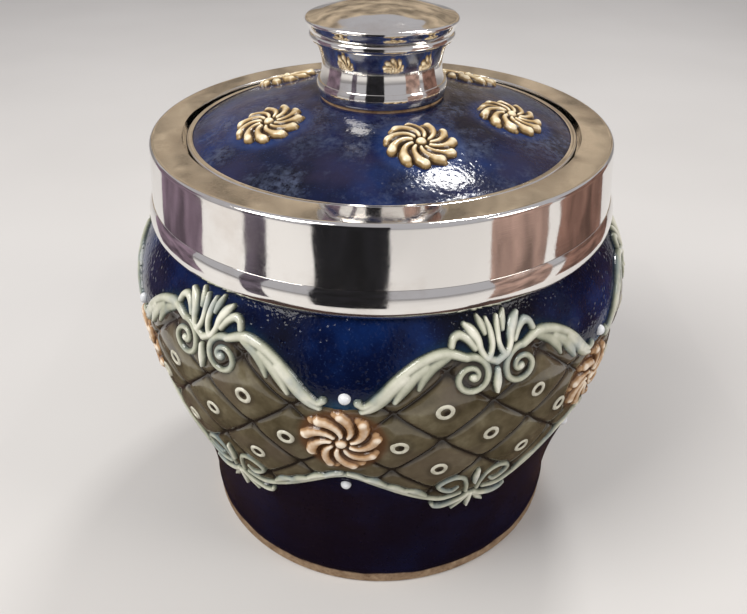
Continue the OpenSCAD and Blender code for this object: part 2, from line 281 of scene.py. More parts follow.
def flowing(points, steps=7):
    """A smooth path through control points; each row is a position and its half width."""
    p = np.array(points, float)
    ends = np.vstack([2 * p[0] - p[1], p, 2 * p[-1] - p[-2]])
    out = []
    for i in range(1, len(ends) - 2):
        a, b, c, d = ends[i - 1:i + 3]
        for t in np.arange(steps) / steps:
            out.append(0.5 * (2 * b + (c - a) * t + (2 * a - 5 * b + 4 * c - d) * t**2
                              + (3 * b - a - 3 * c + d) * t**3))
    out.append(p[-1])
    return np.array(out)


def ridge(gx, gz, path, height):
    """Signed height of a rounded ridge along a path; outside it the value falls below zero."""
    best = np.full(gx.shape, 1e9)
    wide = np.full(gx.shape, 1.0)
    for a, b in zip(path[:-1], path[1:]):
        run = b[:2] - a[:2]
        t = np.clip(((gx - a[0]) * run[0] + (gz - a[1]) * run[1]) / max(run @ run, 1e-9), 0, 1)
        d = np.hypot(gx - a[0] - t * run[0], gz - a[1] - t * run[1])
        w = a[2] + (b[2] - a[2]) * t
        nearer = d / w < best / wide
        best = np.where(nearer, d, best)
        wide = np.where(nearer, w, wide)
    q = best / wide
    return np.where(q < 1, height * np.sqrt(np.maximum(0, 1 - q * q)), wide - best)


def soft_max(a, b, k=0.12):
    """The larger of two fields, with a small fillet between them."""
    return 0.5 * (a + b + np.sqrt((a - b) ** 2 + k * k)) - k / 2


def blur(field, cells):
    """A field smoothed over about that many cells."""
    rows, cols = field.shape
    pad = int(cells * 3)
    wide = np.pad(field, pad, mode="edge")
    fy = np.fft.fftfreq(wide.shape[0])[:, None]
    fx = np.fft.rfftfreq(wide.shape[1])[None, :]
    kernel = np.exp(-2 * (math.pi * cells) ** 2 * (fx * fx + fy * fy))
    soft = np.fft.irfft2(np.fft.rfft2(wide) * kernel, s=wide.shape)
    return soft[pad:pad + rows, pad:pad + cols]


def shell(up, wraps=False):
    """Faces of a closed shell over the cells with a corner that is up, and the grid points it
    uses, those of its underside last. One that wraps joins its last column to its first."""
    rows, cols = up.shape
    index = np.arange(rows * cols).reshape(rows, cols)
    if wraps:
        up, index = (np.column_stack([v, v[:, 0]]) for v in (up, index))
    cell = up[:-1, :-1] | up[1:, :-1] | up[:-1, 1:] | up[1:, 1:]
    a, b, c, d = index[:-1, :-1], index[:-1, 1:], index[1:, 1:], index[1:, :-1]
    under = rows * cols
    top = np.stack([a, b, c, d], -1)[cell]
    sheets = [top, top[:, ::-1] + under]
    ring = np.pad(cell, 1)
    if wraps:
        ring[1:-1, 0], ring[1:-1, -1] = cell[:, -1], cell[:, 0]
    for dr, dc, p, q in ((-1, 0, a, b), (0, 1, b, c), (1, 0, c, d), (0, -1, d, a)):
        beside = ring[1 + dr:1 + dr + cell.shape[0], 1 + dc:1 + dc + cell.shape[1]]
        rim = cell & ~beside
        sheets.append(np.stack([q[rim], p[rim], p[rim] + under, q[rim] + under], -1))
    faces = np.concatenate(sheets)
    used, new = np.unique(faces, return_inverse=True)
    return new.reshape(faces.shape), used


SPRIG_DIP, SPRIG_FOOT = -0.55, -0.7  # heights on the wall, in millimetres
ROSE_DIP, ROSE_FOOT = -0.5, -0.8
GROUND_DIP, GROUND_FOOT = -0.9, -1.1


def carved(xs, ys, field, dip, foot, cells, full, bend=0.0):
    """A height field as a closed shell: its faces, flat [x, y, height] points, and how high and
    how hollow each one lies. Its top dips no lower than dip, its underside lies at foot. A place
    is hollow where it lies below the mean of about that many cells round it."""
    gx, gy = np.meshgrid(xs, ys)
    faces, used = shell(field > 0)
    lifted = np.maximum(field, 0)
    hollow = blur(lifted, cells) - lifted
    high = np.stack([gx, gy, np.maximum(field, dip) + bend], -1).reshape(-1, 3)
    low = np.stack([gx, gy, np.full_like(gx, foot) + bend], -1).reshape(-1, 3)
    rise, cavity = (np.tile(v.ravel(), 2)[used] for v in (lifted / full, hollow))
    return faces, np.concatenate([high, low])[used], rise, cavity


def sprig_piece(name, node, xs, zs, field):
    """A height field of the frieze as a closed shell on the wall, once in every repeat."""
    faces, flat, rise, cavity = carved(xs, zs, field, SPRIG_DIP, SPRIG_FOOT, 3.0, field.max())
    repeats = len(drop_az)
    points = np.concatenate([on_wall(*flat.T, az) for az in drop_az])
    every = np.concatenate([faces + k * len(flat) for k in range(repeats)])
    values = {"rise": np.tile(rise, repeats), "hollow": np.tile(cavity, repeats)}
    make_piece(name, points, every.tolist(), sprigs, "jar", [node], values, crease=75)


# ---------------------------------------------------------------- materials


class Nodes:
    """A small helper for building one node material."""

    def __init__(self, name):
        self.material = bpy.data.materials.new(name)
        self.material.use_nodes = True
        self.tree = self.material.node_tree
        self.shader = next(n for n in self.tree.nodes if n.type == "BSDF_PRINCIPLED")
        coords = self.tree.nodes.new("ShaderNodeTexCoord")
        self.place = coords.outputs["Object"]

    def add(self, kind, **settings):
        """A new node with its settings."""
        node = self.tree.nodes.new(kind)
        for key, value in settings.items():
            setattr(node, key, value)
        return node

    def feed(self, socket, value):
        """Links or sets an input."""
        if isinstance(value, bpy.types.NodeSocket):
            self.tree.links.new(value, socket)
        else:
            socket.default_value = value

    def noise(self, scale, detail=3.0, rough=0.55, stretch=None):
        """Noise in object space; scale is per metre."""
        node = self.add("ShaderNodeTexNoise")
        self.feed(node.inputs["Scale"], scale)
        self.feed(node.inputs["Detail"], detail)
        self.feed(node.inputs["Roughness"], rough)
        place = self.place
        if stretch:
            mapping = self.add("ShaderNodeMapping")
            self.feed(mapping.inputs["Scale"], stretch)
            self.tree.links.new(self.place, mapping.inputs["Vector"])
            place = mapping.outputs["Vector"]
        self.tree.links.new(place, node.inputs["Vector"])
        return node.outputs["Fac"]

    def cells(self, scale):
        """Distance to the nearest cell centre, in cells."""
        node = self.add("ShaderNodeTexVoronoi")
        self.feed(node.inputs["Scale"], scale)
        self.tree.links.new(self.place, node.inputs["Vector"])
        return node.outputs["Distance"]

    def value(self, name):
        """A number stored on the mesh."""
        return self.add("ShaderNodeAttribute", attribute_name=name).outputs["Fac"]

    def up(self):
        """Height above the foot, in metres."""
        node = self.add("ShaderNodeSeparateXYZ")
        self.tree.links.new(self.place, node.inputs[0])
        return node.outputs["Z"]

    def ramp(self, value, *stops):
        """Colour ramp from (position, colour) stops."""
        node = self.add("ShaderNodeValToRGB")
        ramp = node.color_ramp
        while len(ramp.elements) < len(stops):
            ramp.elements.new(0.5)
        for element, (at, colour) in zip(ramp.elements, stops):
            element.position = at
            element.color = (*colour, 1.0)
        self.feed(node.inputs["Fac"], value)
        return node.outputs["Color"]

    def span(self, value, low, high, out_low=0.0, out_high=1.0):
        """A value mapped from one range to another, and clamped."""
        node = self.add("ShaderNodeMapRange")
        for i, v in enumerate((value, low, high, out_low, out_high)):
            self.feed(node.inputs[i], v)
        return node.outputs["Result"]

    def calc(self, how, a, b):
        """One arithmetic step."""
        node = self.add("ShaderNodeMath", operation=how)
        self.feed(node.inputs[0], a)
        self.feed(node.inputs[1], b)
        return node.outputs[0]

    def times(self, a, b):
        """One value times another."""
        return self.calc("MULTIPLY", a, b)

    def mix(self, factor, a, b, how="MIX"):
        """A mix of two colours."""
        node = self.add("ShaderNodeMix", data_type="RGBA", blend_type=how)
        self.feed(node.inputs[0], factor)
        self.feed(node.inputs[6], a if isinstance(a, bpy.types.NodeSocket) else (*a, 1.0))
        self.feed(node.inputs[7], b if isinstance(b, bpy.types.NodeSocket) else (*b, 1.0))
        return node.outputs[2]

    def bump(self, height, depth, under=None):
        """A bump of that depth in metres, over another one."""
        node = self.add("ShaderNodeBump")
        self.feed(node.inputs["Strength"], 1.0)
        self.feed(node.inputs["Distance"], depth)
        self.feed(node.inputs["Height"], height)
        if under is not None:
            self.feed(node.inputs["Normal"], under)
        return node.outputs["Normal"]

    def finish(self, colour, rough, normal=None, metal=0.0, specular=0.5):
        """Connects the shader and returns the material."""
        self.feed(self.shader.inputs["Base Color"], colour)
        self.feed(self.shader.inputs["Roughness"], rough)
        self.shader.inputs["Metallic"].default_value = metal
        self.shader.inputs["Specular IOR Level"].default_value = specular
        if normal is not None:
            self.feed(self.shader.inputs["Normal"], normal)
        return self.material


NAVY = (0.0020, 0.0024, 0.0095)
COBALT = (0.0026, 0.0058, 0.030)
BRIGHT = (0.005, 0.022, 0.105)
PLUM = (0.0065, 0.0038, 0.0085)
TEAL = (0.020, 0.070, 0.12)
CLAY = (0.42, 0.30, 0.19)
BROWN = (0.075, 0.035, 0.016)


def blue_colour(n):
    """Mottled cobalt glaze, brighter in soft patches and speckled."""
    patch = n.noise(38, 2.0, 0.5)
    cloud = n.noise(150, 5.0, 0.65)
    both = n.calc("ADD", n.times(patch, 0.72), n.times(cloud, 0.28))
    base = n.ramp(both, (0.36, NAVY), (0.50, COBALT), (0.66, BRIGHT))
    speck = n.span(n.noise(2100, 2.0, 0.6), 0.60, 0.74)
    return n.mix(n.times(speck, 0.35), base, (0.03, 0.06, 0.16))


def glaze_bump(n, depth, pits, waves):
    """Slow waves, orange peel and small pits of a thick glaze, in metres."""
    wave = n.bump(n.noise(30, 1.0, 0.4), waves)
    peel = n.bump(n.noise(950, 2.0, 0.5), depth, wave)
    pit = n.span(n.cells(620), 0.0, 0.32)
    return n.bump(pit, pits, peel)


def body_glaze():
    """Cobalt glaze of the body: dark plum low down, teal where it pools, painted shade, brown inside.
    The foot below it is bare clay."""
    n = Nodes("cobalt_glaze_body")
    blue = blue_colour(n)
    low = n.span(n.up(), 0.060, 0.040)
    blue = n.mix(n.times(low, 0.85), blue, PLUM)
    blue = n.mix(n.times(n.value("pool"), 0.6), blue, TEAL)
    # Painted shade: the blue darkens beside the sprigs, rings and rosettes, with glaze run dark there.
    blue = n.mix(n.times(n.value("shade"), 0.7), blue, (0.0035, 0.006, 0.010))
    salt = n.ramp(n.noise(240, 5.0, 0.7), (0.35, BROWN), (0.62, (0.20, 0.105, 0.045)))
    colour = n.mix(n.value("inside"), blue, salt)
    edge = n.calc("ADD", n.up(), n.times(n.noise(95, 2.0), 0.0022))
    line = n.span(edge, 0.0049, 0.0043)
    clay = n.ramp(n.noise(420, 6.0, 0.7), (0.3, (0.17, 0.10, 0.055)), (0.7, CLAY))
    colour = n.mix(line, colour, clay)
    gloss = n.span(n.noise(60, 3.0), 0.3, 0.7, 0.05, 0.13)
    rough = n.calc("MAXIMUM", gloss, n.times(line, 0.62))
    return n.finish(colour, rough, glaze_bump(n, 0.00009, 0.00012, 0.0005), specular=0.17)


def lid_glaze():
    """Cobalt glaze of the lid, more purple, with bare clay on the flange below."""
    n = Nodes("cobalt_glaze_lid")
    blue = blue_colour(n)
    violet = n.span(n.noise(55, 3.0, 0.6), 0.46, 0.62)
    blue = n.mix(n.times(violet, 0.6), blue, (0.020, 0.016, 0.042))
    milky = n.times(n.span(n.noise(95, 5.0, 0.7), 0.46, 0.62),
                    n.span(n.noise(700, 4.0, 0.7), 0.40, 0.60))
    blue = n.mix(n.times(milky, 0.55), blue, (0.080, 0.100, 0.165))
    blue = n.mix(n.times(n.value("pool"), 0.5), blue, (0.014, 0.045, 0.17))
    bare = n.span(n.up(), 0.1068, 0.1062)
    clay = n.ramp(n.noise(420, 6.0, 0.7), (0.3, (0.22, 0.14, 0.08)), (0.7, CLAY))
    colour = n.mix(bare, blue, clay)
    gloss = n.span(n.noise(70, 3.0), 0.3, 0.7, 0.07, 0.2)
    rough = n.calc("MAXIMUM", gloss, n.times(bare, 0.6))
    return n.finish(colour, rough, glaze_bump(n, 0.00005, 0.00003, 0.0006), specular=0.24)


def frieze_glaze():
    """Olive-grey glaze of the quilted ground, pooled dark in lines and pits; painted shade by the
    ornament.
    """
    n = Nodes("slip_glaze_ground")
    tone = n.noise(130, 4.0, 0.6)
    olive = n.ramp(tone, (0.32, (0.070, 0.056, 0.030)), (0.55, (0.135, 0.112, 0.066)),
                   (0.72, (0.215, 0.190, 0.120)))
    stain = n.span(n.noise(60, 2.0), 0.52, 0.68)
    olive = n.mix(n.times(stain, 0.5), olive, (0.13, 0.10, 0.075))
    # Darker by the depth value: pooled glaze in the lines and pits, and painted shade round the
    # ornament.
    dark = n.span(n.value("depth"), 0.05, 0.75)
    colour = n.mix(dark, olive, (0.022, 0.017, 0.012))
    brown = n.mix(n.value("warm"), colour, (0.14, 0.065, 0.028))
    peel = n.bump(n.noise(700, 2.0), 0.00002)
    return n.finish(brown, n.span(tone, 0.3, 0.7, 0.05, 0.14), peel)


def sprig_glaze():
    """Pale grey-green slip glaze with blue runs; cream painted highlight up high, painted shade in
    hollows.
    """
    n = Nodes("slip_glaze_sprigs")
    rise = n.value("rise")
    # Painted highlight and shade: the tone rises with height, near black low down and cream up high.
    tone = n.calc("ADD", n.times(rise, 0.75), n.times(n.noise(260, 4.0), 0.35))
    colour = n.ramp(tone, (0.18, (0.022, 0.028, 0.022)), (0.46, (0.17, 0.185, 0.135)),
                    (0.70, (0.47, 0.48, 0.37)), (0.94, (0.84, 0.83, 0.71)))
    blue = n.span(n.noise(110, 3.0, 0.6), 0.50, 0.64)
    colour = n.mix(n.times(blue, 0.40), colour, (0.18, 0.26, 0.32))
    # Painted shade: the hollows beside and between the sprig strokes go nearly black.
    dark = n.span(n.value("hollow"), 0.0, 0.25)
    colour = n.mix(n.times(dark, 0.9), colour, (0.020, 0.028, 0.030))
    peel = n.bump(n.noise(900, 2.0), 0.00003)
    return n.finish(colour, n.span(tone, 0.2, 0.9, 0.16, 0.08), peel)


def rosette_glaze(name, pale, mid, dark):
    """Peach to cream petals, the cream a painted highlight on crests; brown glaze in the gaps, with
    painted shade.
    """
    n = Nodes(name)
    # Painted highlight: a petal is paler where it stands above its surroundings.
    crest_highlight = n.span(n.value("hollow"), 0.02, -0.42)
    tone = n.calc("ADD", n.times(crest_highlight, 0.80), n.times(n.noise(330, 4.0), 0.34))
    colour = n.ramp(tone, (0.22, dark), (0.52, mid), (0.84, pale))
    low = n.span(n.value("rise"), 0.50, 0.34)
    colour = n.mix(n.times(low, 0.75), colour, mid)
    # The brown in the gaps is the glaze's own colour, darkened further in the hollows as painted
    # shade.
    deep = n.span(n.value("hollow"), -0.02, 0.22)
    colour = n.mix(deep, colour, dark)
    peel = n.bump(n.noise(900, 2.0), 0.00003)
    return n.finish(colour, n.span(tone, 0.2, 0.9, 0.22, 0.1), peel)


def plain_glaze(name, low, high):
    """Nearly even glaze for beads and rings."""
    n = Nodes(name)
    tone = n.noise(480, 4.0)
    colour = n.ramp(tone, (0.3, low), (0.68, high))
    return n.finish(colour, n.span(tone, 0.3, 0.7, 0.1, 0.2), n.bump(tone, 0.00004))


def silver_metal():
    """Polished silver plate: soft dents, fine polishing lines, faint warm tarnish."""
    n = Nodes("silver")
    tarnish = n.span(n.noise(48, 5.0, 0.65), 0.50, 0.72)
    colour = n.mix(n.times(tarnish, 0.55), (0.90, 0.885, 0.86), (0.66, 0.585, 0.52))
    hairline = n.noise(1.0, 3.0, 0.7, (35, 35, 2600))
    scuff = n.noise(1300, 3.0, 0.7)
    rough = n.calc("ADD", n.span(scuff, 0.35, 0.75, 0.035, 0.12), n.times(tarnish, 0.09))
    dents = n.bump(n.noise(42, 2.0, 0.45), 0.00048)
    lines = n.bump(hairline, 0.000006, dents)
    return n.finish(colour, rough, lines, metal=1.0)


def dull_metal():
    """Plated iron with a grainy worn surface."""
    n = Nodes("plated_iron")
    grain = n.noise(700, 5.0, 0.7)
    colour = n.ramp(grain, (0.3, (0.30, 0.29, 0.27)), (0.7, (0.62, 0.62, 0.61)))
    return n.finish(colour, n.span(grain, 0.3, 0.7, 0.5, 0.28), n.bump(grain, 0.00005), metal=1.0)


def grained(name, low, high, scale, rough, depth):
    """A matt, grainy material such as plaster or cork."""
    n = Nodes(name)
    grain = n.noise(scale, 6.0, 0.72)
    colour = n.ramp(grain, (0.34, low), (0.64, high))
    return n.finish(colour, rough, n.bump(grain, depth), specular=0.3)


# ---------------------------------------------------------------- strokes of the ornament

# Every stroke below is laid out in the flat, in millimetres: along the wall from the palmette's
# axis, up from the foot, and half its width.

SPIRAL_AT = (5.4, 78.4)


def spiral(centre, turns, radii, widths):
    """A spiral path: radius and half width at angles in degrees."""
    angle = np.linspace(turns[0], turns[-1], 40)
    r = np.interp(angle, turns, radii)
    w = np.interp(angle, turns, widths)
    a = np.radians(angle)
    return np.stack([centre[0] + r * np.cos(a), centre[1] + r * np.sin(a), w], 1)


def draw(xs, zs, strokes, mirrored):
    """Height field of strokes, each a path and its height. Mirrored ones show on both sides."""
    gx, gz = np.meshgrid(xs, zs)
    field = np.full(gx.shape, -3.0)
    for path, height in strokes:
        field = soft_max(field, ridge(gx, gz, path, height))
    return soft_max(field, field[:, ::-1]) if mirrored else field


def centred(reach, step):
    """Grid values that mirror exactly about zero."""
    count = int(math.ceil(reach / step))
    return np.arange(-count, count + 1) * step


def upper_scroll_strokes():
    """Spiral eye, flowing stem and three leaf lobes of an upper scroll."""
    eye = spiral(SPIRAL_AT, (75, 180, 270, 360, 450, 540, 620),
                 (4.45, 3.3, 3.35, 3.0, 2.0, 1.15, 0.45), (1.0, 0.95, 0.9, 0.86, 0.76, 0.68, 0.8))
    stem = flowing([(6.5, 82.7, 1.0), (10.7, 84.1, 1.2), (15, 83.3, 1.2), (18.4, 81.5, 1.15),
                    (21.4, 79.0, 1.1), (23.8, 76.3, 1.0), (25.8, 74.2, 0.95), (27.4, 73.2, 0.9),
                    (28.4, 73.9, 1.05)])
    lobe_1 = flowing([(10.6, 83.3, 1.0), (13.6, 81.9, 1.5), (15.4, 79.8, 1.35), (16.4, 77.3, 0.6)])
    lobe_2 = flowing([(14.9, 82.0, 1.2), (17.6, 80.0, 1.7), (19.6, 77.4, 1.6), (21.1, 74.5, 0.7)])
    lobe_3 = flowing([(18.9, 80.2, 1.2), (21.6, 77.6, 1.6), (23.9, 75.0, 1.75), (25.8, 72.9, 1.3),
                      (27.6, 71.9, 0.8)])
    return [(eye, 1.3), (stem, 1.35), (lobe_1, 1.1), (lobe_2, 1.15), (lobe_3, 1.2),
            (flowing([(5.3, 78.4, 0.95), (5.5, 78.5, 0.95)], 2), 1.3)]


def upper_palmette_strokes():
    """Looped lobes, inner tips and hooked side curls of an upper palmette."""
    loop = flowing([(1.3, 89.0, 0.5), (0.85, 87.0, 0.9), (0.78, 84.2, 0.8), (2.0, 81.9, 0.85),
                    (3.3, 83.6, 0.85), (3.9, 85.7, 1.2), (4.9, 87.3, 1.35), (6.3, 88.7, 0.6)])
    inner_tip = flowing([(2.1, 86.6, 0.6), (2.5, 88.2, 1.0), (3.2, 89.7, 0.5)])
    hook = flowing([(4.6, 84.2, 0.7), (5.9, 86.0, 0.9), (7.5, 87.0, 0.95), (8.9, 86.6, 0.9),
                    (9.5, 85.3, 0.85)])
    return [(loop, 1.4), (inner_tip, 1.2), (hook, 1.15),
            (flowing([(2.0, 81.8, 0.9), (0, 80.9, 1.0)], 3), 1.1)]


def lower_scroll_strokes():
    """Eye, thin stem and leaf segments of a lower edging."""
    eye = flowing([(1.6, 38.4, 0.75), (1.9, 41.2, 0.8), (3.2, 44.6, 0.85), (5.7, 45.9, 0.9),
                   (8.3, 45.0, 0.85), (9.6, 43.1, 0.75), (8.2, 41.1, 0.75), (5.9, 40.1, 0.7),
                   (4.4, 41.6, 0.6)])
    stem = flowing([(3.2, 38.3, 0.7), (6, 37.5, 0.85), (9, 37.5, 0.95), (13.5, 39.7, 1.0),
                    (18, 42.4, 1.0), (22.7, 45.5, 0.95), (25.7, 47.4, 0.9), (28.8, 49.2, 0.8),
                    (HALF, 50.2, 0.8)])
    leaves = [[(12.6, 40.2, 0.6), (15.2, 42.3, 1.25), (17.9, 43.9, 0.5)],
              [(17.5, 43.0, 0.6), (20.3, 45.0, 1.25), (23.1, 46.4, 0.5)],
              [(22.8, 46.6, 0.6), (25.2, 48.2, 1.05), (27.6, 49.2, 0.5)],
              [(27.2, 49.0, 0.5), (29.2, 50.2, 0.85), (31.2, 50.9, 0.5)]]
    return [(eye, 1.3), (stem, 1.25)] + [(flowing(p), 1.2) for p in leaves]


def lower_palmette_strokes():
    """Hanging spray: two curls, two leaves and a middle lobe."""
    curl = flowing([(0.9, 37.0, 0.85), (2.4, 35.6, 0.95), (4.6, 34.5, 1.05), (7.6, 33.7, 0.95),
                    (9.8, 34.3, 0.8), (10.6, 35.6, 0.65)])
    leaf = flowing([(0.9, 36.2, 0.7), (2.8, 33.7, 1.1), (4.6, 31.8, 0.5)])
    middle = flowing([(0, 36.8, 0.9), (0, 33.8, 1.1), (0, 31.2, 0.5)])
    return [(curl, 1.3), (leaf, 1.2), (middle, 1.25)]


def drop_strokes(top, middle, bottom, wide):
    """One long drop on the axis."""
    return [(flowing([(0, top, wide * 0.6), (0, middle, wide), (0, bottom, wide * 0.5)]), 1.35)]


# Piece, CAD node, strokes, whether they mirror, and its grid: half width, bottom, top and step.
SPRIGS = [
    ("scrolls_upper", "upper_scrolls", upper_scroll_strokes(), True, 31, 69.5, 87, 0.26),
    ("palmettes_upper", "upper_palmettes", upper_palmette_strokes(), True, 11.5, 79, 91, 0.22),
    ("drops_upper", "palmette_drops", drop_strokes(79.2, 76.4, 74.0, 1.1), False,
     1.8, 73, 80.5, 0.18),
    ("scrolls_lower", "lower_scrolls", lower_scroll_strokes(), True, HALF - 0.05, 35.5, 52, 0.26),
    ("palmettes_lower", "lower_palmettes", lower_palmette_strokes(), True, 11.5, 30, 39, 0.22),
    ("drops_lower", "lower_drops", drop_strokes(47.4, 44.6, 42.0, 1.0), False,
     1.8, 40.5, 49, 0.18),
]


# ---------------------------------------------------------------- the frieze in the flat


def path_z(points):
    """Height of a border line at a distance from the palmette's axis."""
    line = np.array(points)
    return lambda x: np.interp(np.abs(x), line[:, 0], line[:, 1])


border_top = path_z([(0, 80.6), (2, 81.6), (6.6, 82.6), (10.7, 83.8), (15, 82.4), (18.4, 80.2),
                     (21.2, 77.8), (23.9, 75.2), (26.6, 72.6), (28.8, 71.8), (HALF, 71.5)])
border_low = path_z([(0, 37.2), (4, 37.4), (9, 37.4), (13.5, 39.8), (18, 42.4), (22.7, 45.6),
                     (25.7, 47.6), (HALF, 50.1)])


def inside_frieze(x, z):
    """About how far a place lies inside the frieze's borders, negative outside."""
    return np.minimum((border_top(x) - z) * 0.8, (z - border_low(x)) * 0.85)


def ramp01(value, low, high):
    """A smooth step from 0 to 1."""
    t = np.clip((value - low) / (high - low), 0, 1)
    return t * t * (3 - 2 * t)


def bell(gap, wide):
    """A soft mark, 1 where the gap is nothing and fading over about wide."""
    return np.exp(-(gap / wide) ** 2)


DIAMOND_X, DIAMOND_Z = HALF / 3, 9.5
DIAMOND_MM = 2 * DIAMOND_X * DIAMOND_Z / math.hypot(DIAMOND_X, DIAMOND_Z)  # across its sides
LINE_WIDE, PIT_WIDE = 0.55, 1.7


def quilt(x, z):
    """Height of the quilting, and how deep in its lines and pits each place is."""
    u, v = x / DIAMOND_X, (z - FRIEZE_Z) / DIAMOND_Z
    p, q = (u + v) / 2, (u - v) / 2
    a, b = np.abs(p - np.round(p)), np.abs(q - np.round(q))
    cushion = (np.cos(math.pi * a) * np.cos(math.pi * b)) ** 0.5
    da, db = (0.5 - a) * DIAMOND_MM, (0.5 - b) * DIAMOND_MM
    line = bell(np.minimum(da, db), LINE_WIDE)
    pit = np.exp(-(da**2 + db**2) / PIT_WIDE**2)
    depth = np.maximum(line, pit)
    return 0.78 * cushion - 0.30 * line - 0.36 * pit, depth


def all_sprigs(x, z):
    """Height of every applied ornament of one repeat, on its own grid in the flat."""
    field = np.zeros((len(z), len(x)))
    for _, _, strokes, mirrored, *_ in SPRIGS:
        field = np.maximum(field, draw(x, z, strokes, mirrored))
    return field


RING_PLACES = [(0, 0), (1.84, 0), (-1.84, 0), (1, 1), (-1, 1), (1, -1), (-1, -1)]
FLAT_STEP = 0.38
flat_x = np.linspace(-HALF, HALF, int(2 * HALF / FLAT_STEP) + 1)
flat_z = np.arange(29.5, 91.5, FLAT_STEP)
grid_x, grid_z = np.meshgrid(flat_x, flat_z)
inner = inside_frieze(grid_x, grid_z)
soft = ramp01(inner, 0.4, 2.2)
quilt_h, quilt_depth = quilt(grid_x, grid_z)
rose_gap = np.hypot(HALF - np.abs(grid_x), grid_z - ROSE_Z)
warm = 1 - ramp01(rose_gap, 8.6, 10.4)
sprig_h = np.maximum(all_sprigs(flat_x, flat_z), 0)

# The cushions lie lower beside the sprigs and under the rosettes.
pressed = 1 - 0.85 * np.clip(2.2 * blur(sprig_h, 1.8), 0, 1)
pressed = pressed * (0.15 + 0.85 * ramp01(rose_gap, 8.8, 11.2))
ground_h = np.minimum(0.12 + quilt_h * soft * pressed + 0.1 * (1 - soft), 0.12 + inner * 1.5)

# Painted shade, with glaze run dark, round the sprigs, in and round the rings, and round the rosettes.
shade = np.clip(1.5 * blur(sprig_h, 2.6), 0, 1)
for u, v in RING_PLACES:
    ring_gap = np.hypot(grid_x - u * DIAMOND_X, grid_z - FRIEZE_Z - v * DIAMOND_Z)
    shade = np.maximum(shade, 0.9 * bell(ring_gap, 1.1) + 0.35 * bell(ring_gap - 2.4, 0.7))
shade = np.maximum(shade, 0.8 * bell(np.maximum(rose_gap - 7.5, 0), 1.3))


def shaded(x, z):
    """How much painted shade and dark-run glaze lie round the ornament at a place in the flat, from
    the grid.
    """
    col = np.clip((x + HALF) / (flat_x[1] - flat_x[0]), 0, len(flat_x) - 1.001)
    row = np.clip((z - flat_z[0]) / FLAT_STEP, 0, len(flat_z) - 1.001)
    i, j = col.astype(int), row.astype(int)
    a, b = col - i, row - j
    low = shade[j, i] * (1 - a) + shade[j, i + 1] * a
    high = shade[j + 1, i] * (1 - a) + shade[j + 1, i + 1] * a
    return low * (1 - b) + high * b


def all_round(field):
    """One repeat's field set round the jar. Its last column is where the next one starts."""
    return np.tile(field[:, :-1], len(drop_az))


def frieze_ground():
    """The quilted olive ground, one closed band round the jar."""
    full_h = all_round(ground_h)
    rows, ring = full_h.shape
    faces, used = shell(all_round(inner) > 0, wraps=True)
    # depth: glaze pooled in the quilting's lines and pits, plus painted shade round the ornament.
    values = {"depth": np.clip(quilt_depth * 0.9 + shade * 0.95, 0, 1), "warm": warm * 0.8}
    az = drop_az[0] - PITCH / 2 + np.arange(ring) * PITCH / (ground_h.shape[1] - 1)
    z = np.repeat(flat_z, ring)
    turn = np.tile(az, rows)
    high = on_wall(0 * z, z, np.maximum(full_h.ravel(), GROUND_DIP), turn)
    low = on_wall(0 * z, z, np.full(len(z), GROUND_FOOT), turn)
    points = np.concatenate([high, low])[used]
    stored = {k: np.tile(all_round(v).ravel(), 2)[used] for k, v in values.items()}
    make_piece("frieze_ground", points, faces.tolist(), olive, "jar", ["jar_body"],
               stored, crease=75)


ROSE_R, LID_ROSE_R, BOSS_H = 9.6, 8.6, 1.85
LID_CROWN = 145.0  # radius of the lid's curve under a rosette


def whirl_field(span, radius, petals, seed):
    """A whirl rosette: comma petals over a lower row, round a boss."""
    gx, gy = np.meshgrid(span, span)
    rng = np.random.default_rng(seed)
    lobes = radius * (0.93 + 0.035 * np.cos(petals * np.arctan2(gy, gx) + 0.6))
    r = np.hypot(gx, gy)
    field = np.where(r < lobes, 0.85 * np.sqrt(np.maximum(0, 1 - (r / lobes) ** 6)), lobes - r)
    for row, (near, far, wide, height, twist) in enumerate(
            ((0.50, 0.84, 0.125, 1.25, 0.50), (0.25, 0.80, 0.150, 1.70, 0.70))):
        for i in range(petals):
            turn = math.tau * (i + 0.5 * row) / petals + rng.uniform(-0.05, 0.05)
            t = np.linspace(0, 1, 7)
            rad = radius * (near + (far - near) * t) * rng.uniform(0.96, 1.03)
            ang = turn - twist * t**1.4
            w = radius * wide * (0.42 + 0.58 * np.sin(math.pi / 2 * t**0.8))
            path = np.stack([rad * np.sin(ang + 0.35), rad * np.cos(ang + 0.35), w], 1)
            field = soft_max(field, ridge(gx, gy, path, height * rng.uniform(0.92, 1.0)), 0.06)
    boss = ridge(gx, gy, np.array([[0, 0, radius * 0.165], [0.01, 0, radius * 0.165]]), BOSS_H)
    return soft_max(field, boss, 0.05)


def local_place(origin, out, up):
    """Puts flat [x, y, height] values on a plane at origin, facing out, with y along up."""
    right = np.cross(up, out)

    def put(x, y, h):
        return origin + np.outer(x, right) + np.outer(y, up) + np.outer(h, out)

    return put


def wall_frame(az, z):
    """Origin, outward and upward directions on the wall."""
    tilt = float(np.interp(z, wall_z, wall_tilt))
    r = float(np.interp(z, wall_z, wall_rad))
    side = np.array([math.sin(az), -math.cos(az), 0])
    out = side * math.cos(tilt) - np.array([0, 0, math.sin(tilt)])
    up = side * math.sin(tilt) + np.array([0, 0, math.cos(tilt)])
    return side * r + np.array([0, 0, z]), out, up


